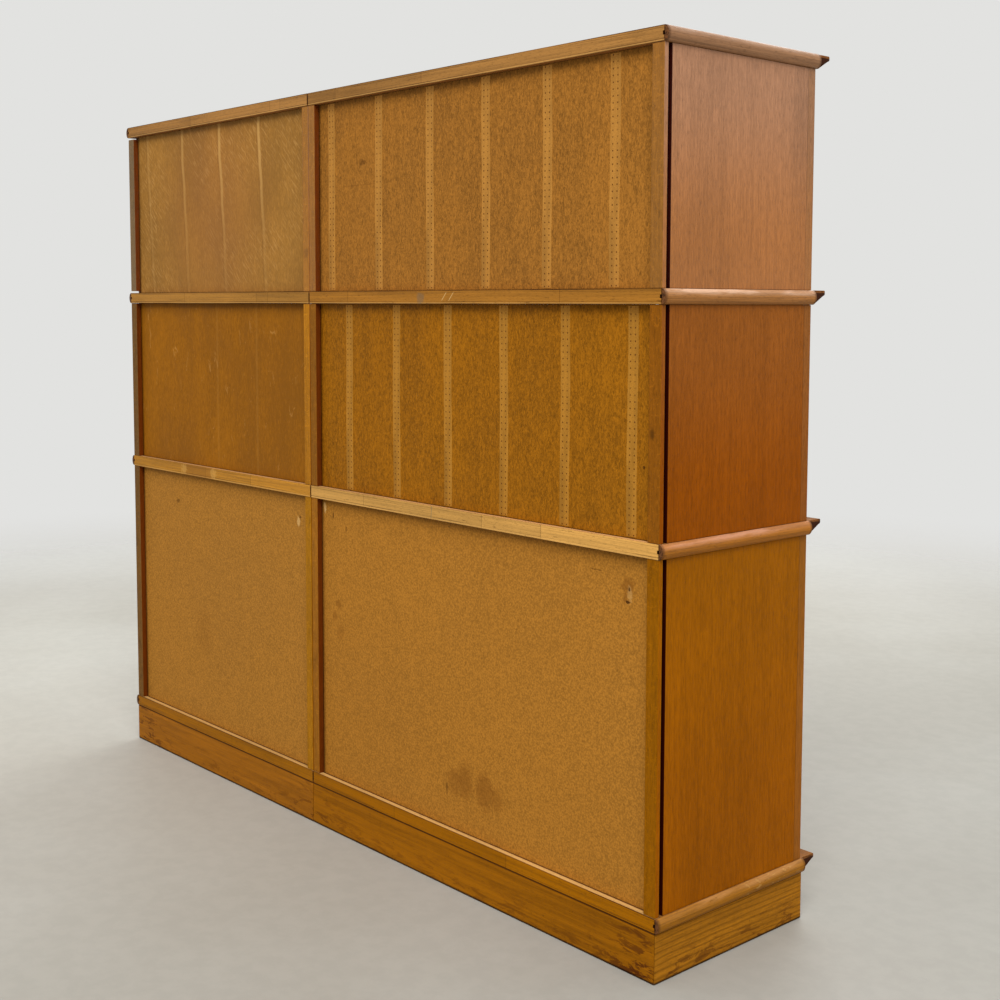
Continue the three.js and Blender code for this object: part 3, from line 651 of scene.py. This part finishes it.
# Marks on the lower backs: place from the panel's low corner, half sizes, colour, strength.
HARDBOARD_MARKS = {
    "wide": [
        ((0.463, 0.083), (0.017, 0.022), SMUDGE, 0.34),
        ((0.434, 0.090), (0.019, 0.030), SMUDGE, 0.38),
        ((0.384, 0.086), (0.021, 0.030), SMUDGE, 0.42),
        ((0.352, 0.078), (0.014, 0.020), SMUDGE, 0.30),
        ((0.484, 0.066), (0.0022, 0.011), HOLE, 0.40),
        ((0.808, 0.340), (0.008, 0.009), SMUDGE, 0.40),
        ((0.821, 0.316), (0.008, 0.008), SMUDGE, 0.38),
        ((0.802, 0.289), (0.013, 0.015), SMUDGE, 0.24),
        ((0.053, 0.490), (0.012, 0.012), SMUDGE, 0.45),
        ((0.050, 0.476), (0.005, 0.012), PALE, 0.30),
        ((0.059, 0.470), (0.004, 0.008), SMUDGE, 0.40),
        ((0.051, 0.484), (0.0018, 0.003), HOLE, 0.80),
        ((0.053, 0.465), (0.0045, 0.0022), HOLE, 0.85),
        ((0.825, 0.509), (0.0018, 0.0065), HOLE, 0.75),
        ((0.783, 0.488), (0.0016, 0.004), HOLE, 0.55),
        ((0.852, 0.522), (0.004, 0.009), PALE, 0.80),
        ((0.120, 0.505), (0.012, 0.0010), HOLE, 0.35),
    ],
    "narrow": [
        ((0.527, 0.475), (0.007, 0.004), HOLE, 0.45),
        ((0.040, 0.494), (0.0018, 0.003), HOLE, 0.75),
        ((0.046, 0.484), (0.005, 0.009), PALE, 0.60),
        ((0.42, 0.20), (0.03, 0.05), SMUDGE, 0.12),
    ],
}


def hardboard_material(name, column, seed):
    """Ochre hardboard with an even fine fleck, smudges, a torn patch and a few nail marks."""
    box_low, box_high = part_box(name)
    width, tall = box_high.x - box_low.x, box_high.z - box_low.z
    p = Paint(name, box_low, seed)
    fleck = p.noise((300, 300, 300), 4, 0.7)
    lumps = p.noise((38, 38, 38), 3, 0.6)
    clouds = p.noise((3, 3, 3), 3, 0.55)
    value = p.add(p.times(fleck, 0.84), p.add(p.times(lumps, 0.08), p.times(clouds, 0.08)))
    shade = p.rise(value, 0.36, 0.64, 0.76, 1.24)
    middle = srgb(*HARDBOARD_TONES[column])
    colour = p.scale(middle, shade)
    specks = p.rise(p.noise((170, 170, 170), 2, 0.6), 0.61, 0.72)
    colour = p.stain(colour, specks, 0.45, tint(middle, 0.45))
    motes = p.rise(p.noise((240, 240, 241), 2, 0.6), 0.66, 0.75)
    colour = p.stain(colour, motes, 0.3, tint(middle, 1.7))
    height = p.add(p.times(fleck, 0.4), p.times(lumps, 0.3))
    for centre, radii, stain, strength in HARDBOARD_MARKS[column]:
        spot = p.spot(p.x, p.z, centre, radii, 2.4)
        colour = p.stain(colour, spot, strength, stain)
        if stain == HOLE:
            height = p.add(height, p.times(spot, -1.5))
        if stain == PALE:
            height = p.add(height, p.times(p.times(spot, lumps), 1.5))
    # Painted shade along the sides and painted shadow under the board above.
    colour = darken_panel_edges(p, colour, width, tall)
    gloss = p.rise(clouds, 0.3, 0.7, 0.62, 0.78)
    return p.finish(colour, gloss, height, 0.0003, Specular_IOR_Level=0.04)


# ------------------------------------------------------------------ metal and glass

def metal_material(name, base, worn, roughness, seed=0.0):
    p = Paint(name, (0, 0, 0), seed)
    tarnish = p.noise((60, 60, 60), 4, 0.65)
    fine = p.noise((900, 900, 900), 2)
    colour = p.mix(p.rise(tarnish, 0.42, 0.66), base, worn)
    gloss = p.add(p.rise(tarnish, 0.35, 0.7, roughness, roughness + 0.22), p.times(fine, 0.06))
    return p.finish(colour, gloss, fine, 0.00005, Metallic=1.0)


def glass_material(name):
    p = Paint(name)
    smear = p.noise((14, 14, 9), 4, 0.6)
    gloss = p.rise(smear, 0.4, 0.7, 0.02, 0.07)
    colour = p.mix(p.rise(smear, 0.3, 0.8), srgb(246, 250, 248), srgb(232, 240, 236))
    ripple = p.noise((5, 5, 5), 1)
    p.plug(p.shader.inputs["Alpha"], p.rise(smear, 0.35, 0.75, 0.10, 0.18))
    return p.finish(colour, gloss, ripple, 0.0006, IOR=1.46)


# ------------------------------------------------------------------ dressing the CAD nodes

# Radius that each kind of piece's sharp edges are rounded to.
ROUNDING = {"board": 0.0008, "moulding": 0.0006, "side": 0.0008, "back": 0.0006, "plinth": 0.0010,
            "door": 0.0012, "glass": 0.0004}


def weld(piece):
    """Joins the triangles' corners, so that the next modifiers see one surface."""
    piece.modifiers.new("weld", "WELD").merge_threshold = 1e-5


def soften(piece, width):
    """Joins the triangles into flat faces and rounds the sharp edges; the node's own mesh stays as it is."""
    weld(piece)
    flat = piece.modifiers.new("flat", "DECIMATE")
    flat.decimate_type = "DISSOLVE"
    flat.angle_limit = 0.01
    bevel = piece.modifiers.new("rounding", "BEVEL")
    bevel.width = width
    bevel.segments = 2
    bevel.limit_method = "ANGLE"
    bevel.angle_limit = math.radians(30)
    bevel.harden_normals = True


def dress(name, material, rounding=0.0):
    piece = NODES[name]
    piece.material_slots[0].material = material
    if rounding:
        soften(piece, rounding)


def dress_all():
    """Gives every CAD node its material; the seeds count up, so that no two wooden pieces look alike."""
    seed = 0.0
    for column in COLUMNS:
        for level in LEVELS:
            seed += 1.0
            name = f"{column}_{level}_board"
            dress(name, board_material(name, column, level, seed), ROUNDING["board"])
            name = f"{column}_{level}_end_moulding"
            dress(name, moulding_material(name, column, level, seed + 0.5), ROUNDING["moulding"])
        for bay in BAYS:
            for place in ("outer", "inner"):
                seed += 1.0
                name = f"{column}_{bay}_{place}_side"
                dress(name, side_material(name, column, bay, place, seed), ROUNDING["side"])
            name = f"{column}_{bay}_back"
            if bay == "lower":
                material = hardboard_material(name, column, seed + 0.5)
            else:
                material = plywood_material(name, column, bay, seed + 0.5)
            dress(name, material, ROUNDING["back"])
        for place in ("back", "front", "end"):
            seed += 1.0
            name = f"{column}_plinth_{place}"
            dress(name, plinth_material(name, column, place, seed), ROUNDING["plinth"])
        for side in ("left", "right"):
            seed += 1.0
            name = f"{column}_lower_{side}_sliding_door"
            dress(name, door_material(name, "slider", seed), ROUNDING["door"])
        for bay in ("middle", "upper"):
            seed += 1.0
            name = f"{column}_{bay}_door"
            dress(f"{name}_frame", door_material(f"{name}_frame", "frame", seed), ROUNDING["door"])
            dress(f"{name}_glass", GLASS, ROUNDING["glass"])
            dress(f"{name}_rod", STEEL)
            dress(f"{name}_knob", BRASS)
            for part in ("rod", "knob"):
                smooth_node(f"{name}_{part}")


def smooth_node(name):
    """Rounds a turned piece by subdivision."""
    piece = NODES[name]
    weld(piece)
    smoother = piece.modifiers.new("subdivision", "SUBSURF")
    smoother.levels = 1
    smoother.render_levels = 2


STEEL = metal_material("steel", srgb(186, 186, 182), srgb(120, 114, 106), 0.26)
BRASS = metal_material("brass", srgb(188, 148, 78), srgb(112, 80, 40), 0.24, 3.0)
GLASS = glass_material("pane_glass")


# ------------------------------------------------------------------ new pieces

def add_piece(name, mesh, material):
    """Turns a bmesh into an object of the scene."""
    data = bpy.data.meshes.new(name)
    mesh.to_mesh(data)
    mesh.free()
    data.materials.append(material)
    piece = bpy.data.objects.new(name, data)
    bpy.context.scene.collection.objects.link(piece)
    return piece


# ------------------------------------------------------------------ veneer tapes

TAPE_WIDTH = 0.021
TAPE_THICKNESS = 0.00018
# First tape and pitch along each panel, from the column's outer end.
TAPE_ROWS = {"upper": (0.1068, 0.1467), "middle": (0.0664, 0.1441)}
TAPES_PER_PANEL = 6
TAPE_STEPS = 36
TAPE_RAGGED = 0.0004  # how far each long edge wanders
TAPE_BEVEL = 0.0002
TAPE_LIFT = 0.00002  # off the back panel
TAPE_END_GAP = 0.002
HOLE_PITCH = 0.010
HOLE_ROW_OFFSET = 0.00475
HOLE_RADIUS = 0.0013


def tape_material(bay):
    """Gummed paper tape under old lacquer, with two rows of small round holes."""
    p = Paint(f"veneer_tape_{bay}", seed=2.0)
    fibre = p.noise((500, 500, 500), 2, 0.6)
    wear = p.noise((70, 70, 9), 3, 0.6)
    shade = p.rise(p.add(p.times(fibre, 0.4), p.times(wear, 0.6)), 0.36, 0.64, 0.80, 1.20)
    middle = srgb(174, 120, 50) if bay == "upper" else srgb(170, 116, 38)
    colour = p.scale(middle, shade)
    rubbed = p.rise(p.noise((55, 55, 14), 3, 0.65), 0.56, 0.70)
    colour = p.stain(colour, rubbed, 0.45, tint(middle, 0.68))
    half = HOLE_PITCH / 2
    step = p.node("ShaderNodeMath", [p.z, half, -half], operation="WRAP").outputs[0]
    row = p.minus(p.math("ABSOLUTE", p.x), HOLE_ROW_OFFSET)
    reach = p.math("SQRT", p.add(p.times(row, row), p.times(step, step)))
    hole = p.rise(reach, HOLE_RADIUS * 0.7, HOLE_RADIUS * 1.3, 1.0, 0.0)
    filled = p.rise(p.noise((40, 40, 12), 2), 0.32, 0.46, 0.35, 0.85)
    colour = p.stain(colour, hole, filled, srgb(84, 42, 6))
    height = p.add(p.times(fibre, 0.3), p.times(hole, -1.0))
    return p.finish(colour, 0.6, height, 0.0002, Specular_IOR_Level=0.08)


def make_tape(name, centre_x, rear_y, z0, z1, material, draw):
    """A strip of tape whose long edges wander a little."""
    mesh = bmesh.new()
    middle_z = (z0 + z1) / 2
    rows = []
    for index in range(TAPE_STEPS + 1):
        z = z0 + (z1 - z0) * index / TAPE_STEPS - middle_z
        left = -TAPE_WIDTH / 2 + draw.uniform(-TAPE_RAGGED, TAPE_RAGGED)
        right = TAPE_WIDTH / 2 + draw.uniform(-TAPE_RAGGED, TAPE_RAGGED)
        lean = 0.0008 * math.sin(index * 0.17 + centre_x * 9)
        rear = [(left, 0), (right, 0)]
        face = [(right - TAPE_BEVEL, TAPE_THICKNESS), (left + TAPE_BEVEL, TAPE_THICKNESS)]
        rows.append([mesh.verts.new((x + lean, y, z)) for x, y in rear + face])
    for below, above in zip(rows, rows[1:]):
        for a in range(4):
            b = (a + 1) % 4
            mesh.faces.new((below[a], below[b], above[b], above[a]))
    mesh.faces.new(rows[0][::-1])
    mesh.faces.new(rows[-1])
    bmesh.ops.recalc_face_normals(mesh, faces=mesh.faces)
    piece = add_piece(name, mesh, material)
    piece.location = (centre_x, rear_y, middle_z)
    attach(piece, "case")


def make_tapes():
    draw = random.Random(7)
    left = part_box("wide_top_board")[0].x
    for bay, (first, pitch) in TAPE_ROWS.items():
        material = tape_material(bay)
        box_low, box_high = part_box(f"wide_{bay}_back")
        for index in range(TAPES_PER_PANEL):
            centre = left + first + pitch * index
            make_tape(f"veneer_tape_{bay}_{index + 1}", centre, box_high.y + TAPE_LIFT,
                      box_low.z + TAPE_END_GAP, box_high.z - TAPE_END_GAP, material, draw)


# ------------------------------------------------------------------ dark joint sheets (painted shade)

JOINT_SHEET_INSET = 0.0015  # the sheet stops this far inside a panel's faces
JOINT_SHEET_BACK_INSET = 0.007  # inside the ends of a back panel, which sit in grooves
JOINT_SHEET_REAR_STOP = 0.018  # a side panel's sheet stops short of its jointing groove
JOINT_SHEET_GAP = 1e-5  # between the sheet and the wood
WIDEST_JOINT = 0.001  # a wider gap is an opening and gets no sheet


def add_box(mesh, corner_low, corner_high):
    made = bmesh.ops.create_cube(mesh, size=1.0)
    for vert in made["verts"]:
        share = vert.co + Vector((0.5, 0.5, 0.5))
        vert.co = [a + (b - a) * t for a, b, t in zip(corner_low, corner_high, share)]


def add_joint_shade_sheet(mesh, column, bay, panel, end, board):
    """Adds the dark sheet between one end of a panel and the board there."""
    panel_low, panel_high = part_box(f"{column}_{bay}_{panel}")
    board_low, board_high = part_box(f"{column}_{board}_board")
    if end == "bottom":
        below, above = board_high.z, panel_low.z
    else:
        below, above = panel_high.z, board_low.z
    if above - below > WIDEST_JOINT:
        return
    across = JOINT_SHEET_BACK_INSET if panel == "back" else JOINT_SHEET_INSET
    rear = JOINT_SHEET_INSET if panel == "back" else JOINT_SHEET_REAR_STOP
    corner_low = (panel_low.x + across, panel_low.y + JOINT_SHEET_INSET, below + JOINT_SHEET_GAP)
    corner_high = (panel_high.x - across, panel_high.y - rear, above - JOINT_SHEET_GAP)
    add_box(mesh, corner_low, corner_high)


def make_joint_shade_sheets():
    """Thin dark sheets that close the hairline joints above and below the side and back panels; their colour
    is painted shade in the joints.
    """
    # Dark brown sheet colour: painted shade in the joints.
    p = Paint("joint_sheet_shade")
    colour = p.scale(srgb(70, 34, 10), p.rise(p.noise((60, 60, 60), 3), 0.3, 0.7, 0.6, 1.4))
    material = p.finish(colour, 0.7, Specular_IOR_Level=0.1)
    for column in COLUMNS:
        for bay, below, above in zip(BAYS, LEVELS, LEVELS[1:]):
            for end, board in (("bottom", below), ("top", above)):
                mesh = bmesh.new()
                for panel in ("outer_side", "inner_side", "back"):
                    add_joint_shade_sheet(mesh, column, bay, panel, end, board)
                piece = add_piece(f"{column}_{bay}_{end}_glue_line", mesh, material)
                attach(piece, "case")


# ------------------------------------------------------------------ finger pulls

PULL_RADIUS = 0.014
PULL_INSET = 0.055  # from the door's outer edge
PULL_DEPTH = 0.0085
PULL_SIDES = 40
# From the middle of the cup over its rolled rim and round the back: (share of the radius, depth).
PULL_OUTLINE = [
    (0.0, PULL_DEPTH), (0.7, PULL_DEPTH - 0.0002), (0.86, PULL_DEPTH * 0.8), (0.93, 0.001),
    (0.97, -0.0002), (1.04, -0.0007), (1.12, -0.0004), (1.14, -0.00002),
    (1.0, -0.00002), (0.985, 0.0006), (0.97, PULL_DEPTH * 0.85), (0.7, PULL_DEPTH + 0.0003),
    (0.0, PULL_DEPTH + 0.0003),
]


def make_pull(name, body, place):
    """Turned brass cup let into a sliding door, with a thin rolled rim."""
    angles = [2 * math.pi * step / PULL_SIDES for step in range(PULL_SIDES)]
    mesh = bmesh.new()
    rings = []
    for share, depth in PULL_OUTLINE:
        radius = share * PULL_RADIUS
        if radius == 0:
            rings.append([mesh.verts.new((0, depth, 0))])
            continue
        rings.append([mesh.verts.new((radius * math.cos(a), depth, radius * math.sin(a))) for a in angles])
    for first, second in zip(rings, rings[1:]):
        for step in range(PULL_SIDES):
            after = (step + 1) % PULL_SIDES
            if len(first) == 1:
                mesh.faces.new((first[0], second[step], second[after]))
            elif len(second) == 1:
                mesh.faces.new((first[step], first[after], second[0]))
            else:
                mesh.faces.new((first[step], first[after], second[after], second[step]))
    bmesh.ops.recalc_face_normals(mesh, faces=mesh.faces)
    piece = add_piece(name, mesh, BRASS)
    for polygon in piece.data.polygons:
        polygon.use_smooth = True
    piece.location = place
    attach(piece, body)


def make_pulls():
    for column in COLUMNS:
        back_low, back_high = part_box(f"{column}_lower_back")
        for side, sign in (("left", -1), ("right", 1)):
            door_low, door_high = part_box(f"{column}_lower_{side}_sliding_door")
            outer = door_low.x if sign < 0 else door_high.x
            place = (outer - sign * PULL_INSET, door_low.y, (back_low.z + back_high.z) / 2)
            make_pull(f"{column}_{side}_finger_pull", f"{column}_{side}_door", place)


# ------------------------------------------------------------------ floor and light

FLOOR_RADIUS = 9.0
FLOOR_DROP = 0.0005  # below the plinths
FLOOR_FADE = (1.9, 4.6)  # distances between which the floor fades into the background
LIGHT_SIZE = (3.0, 2.4)
# Place from the middle of the bookcase, and power in watts.
LIGHTS = {"key": ((-3.1, 2.5, 4.2), 230), "front": ((1.4, -3.4, 3.4), 90)}


def make_floor():
    """Pale disc, painted a little darker on one side as shade, that fades out before its rim."""
    p = Paint("floor")
    clouds = p.noise((0.9, 0.9, 0.9), 4, 0.6)
    grit = p.noise((26, 26, 26), 4, 0.65)
    colour = p.mix(p.rise(clouds, 0.35, 0.7), srgb(174, 171, 162), srgb(182, 180, 172))
    colour = p.scale(colour, p.rise(grit, 0.36, 0.64, 0.975, 1.025))
    # Painted shade: the floor is darker towards -X.
    colour = p.scale(colour, p.rise(p.x, -1.6, 1.6, 0.80, 1.22))
    reach = p.math("SQRT", p.add(p.times(p.x, p.x), p.times(p.y, p.y)))
    p.plug(p.shader.inputs["Alpha"], p.rise(reach, *FLOOR_FADE, 1.0, 0.0))
    mesh = bmesh.new()
    bmesh.ops.create_circle(mesh, cap_ends=True, radius=FLOOR_RADIUS, segments=96)
    floor = add_piece("floor", mesh, p.finish(colour, 0.55, Specular_IOR_Level=0.3))
    floor.location = (MIDDLE.x, MIDDLE.y, low.z - FLOOR_DROP)


def make_area_light(name, place, power, aim):
    data = bpy.data.lights.new(name, "AREA")
    data.shape = "RECTANGLE"
    data.size, data.size_y = LIGHT_SIZE
    data.energy = power
    light = bpy.data.objects.new(name, data)
    bpy.context.scene.collection.objects.link(light)
    light.location = place
    light.rotation_mode = "QUATERNION"
    light.rotation_quaternion = (aim - place).to_track_quat("-Z", "Y")


def make_lights():
    world = bpy.data.worlds.new("studio")
    bpy.context.scene.world = world
    world.use_nodes = True
    background = world.node_tree.nodes["Background"]
    background.inputs["Color"].default_value = srgb(226, 226, 224)
    background.inputs["Strength"].default_value = 1.0
    aim = Vector((MIDDLE.x, MIDDLE.y, HEIGHT * 0.5))
    for name, (offset, power) in LIGHTS.items():
        make_area_light(name, aim + Vector(offset), power, aim)


make_camera()
dress_all()
make_tapes()
make_joint_shade_sheets()
make_pulls()
make_floor()
make_lights()
bpy.context.scene.view_settings.view_transform = "Standard"
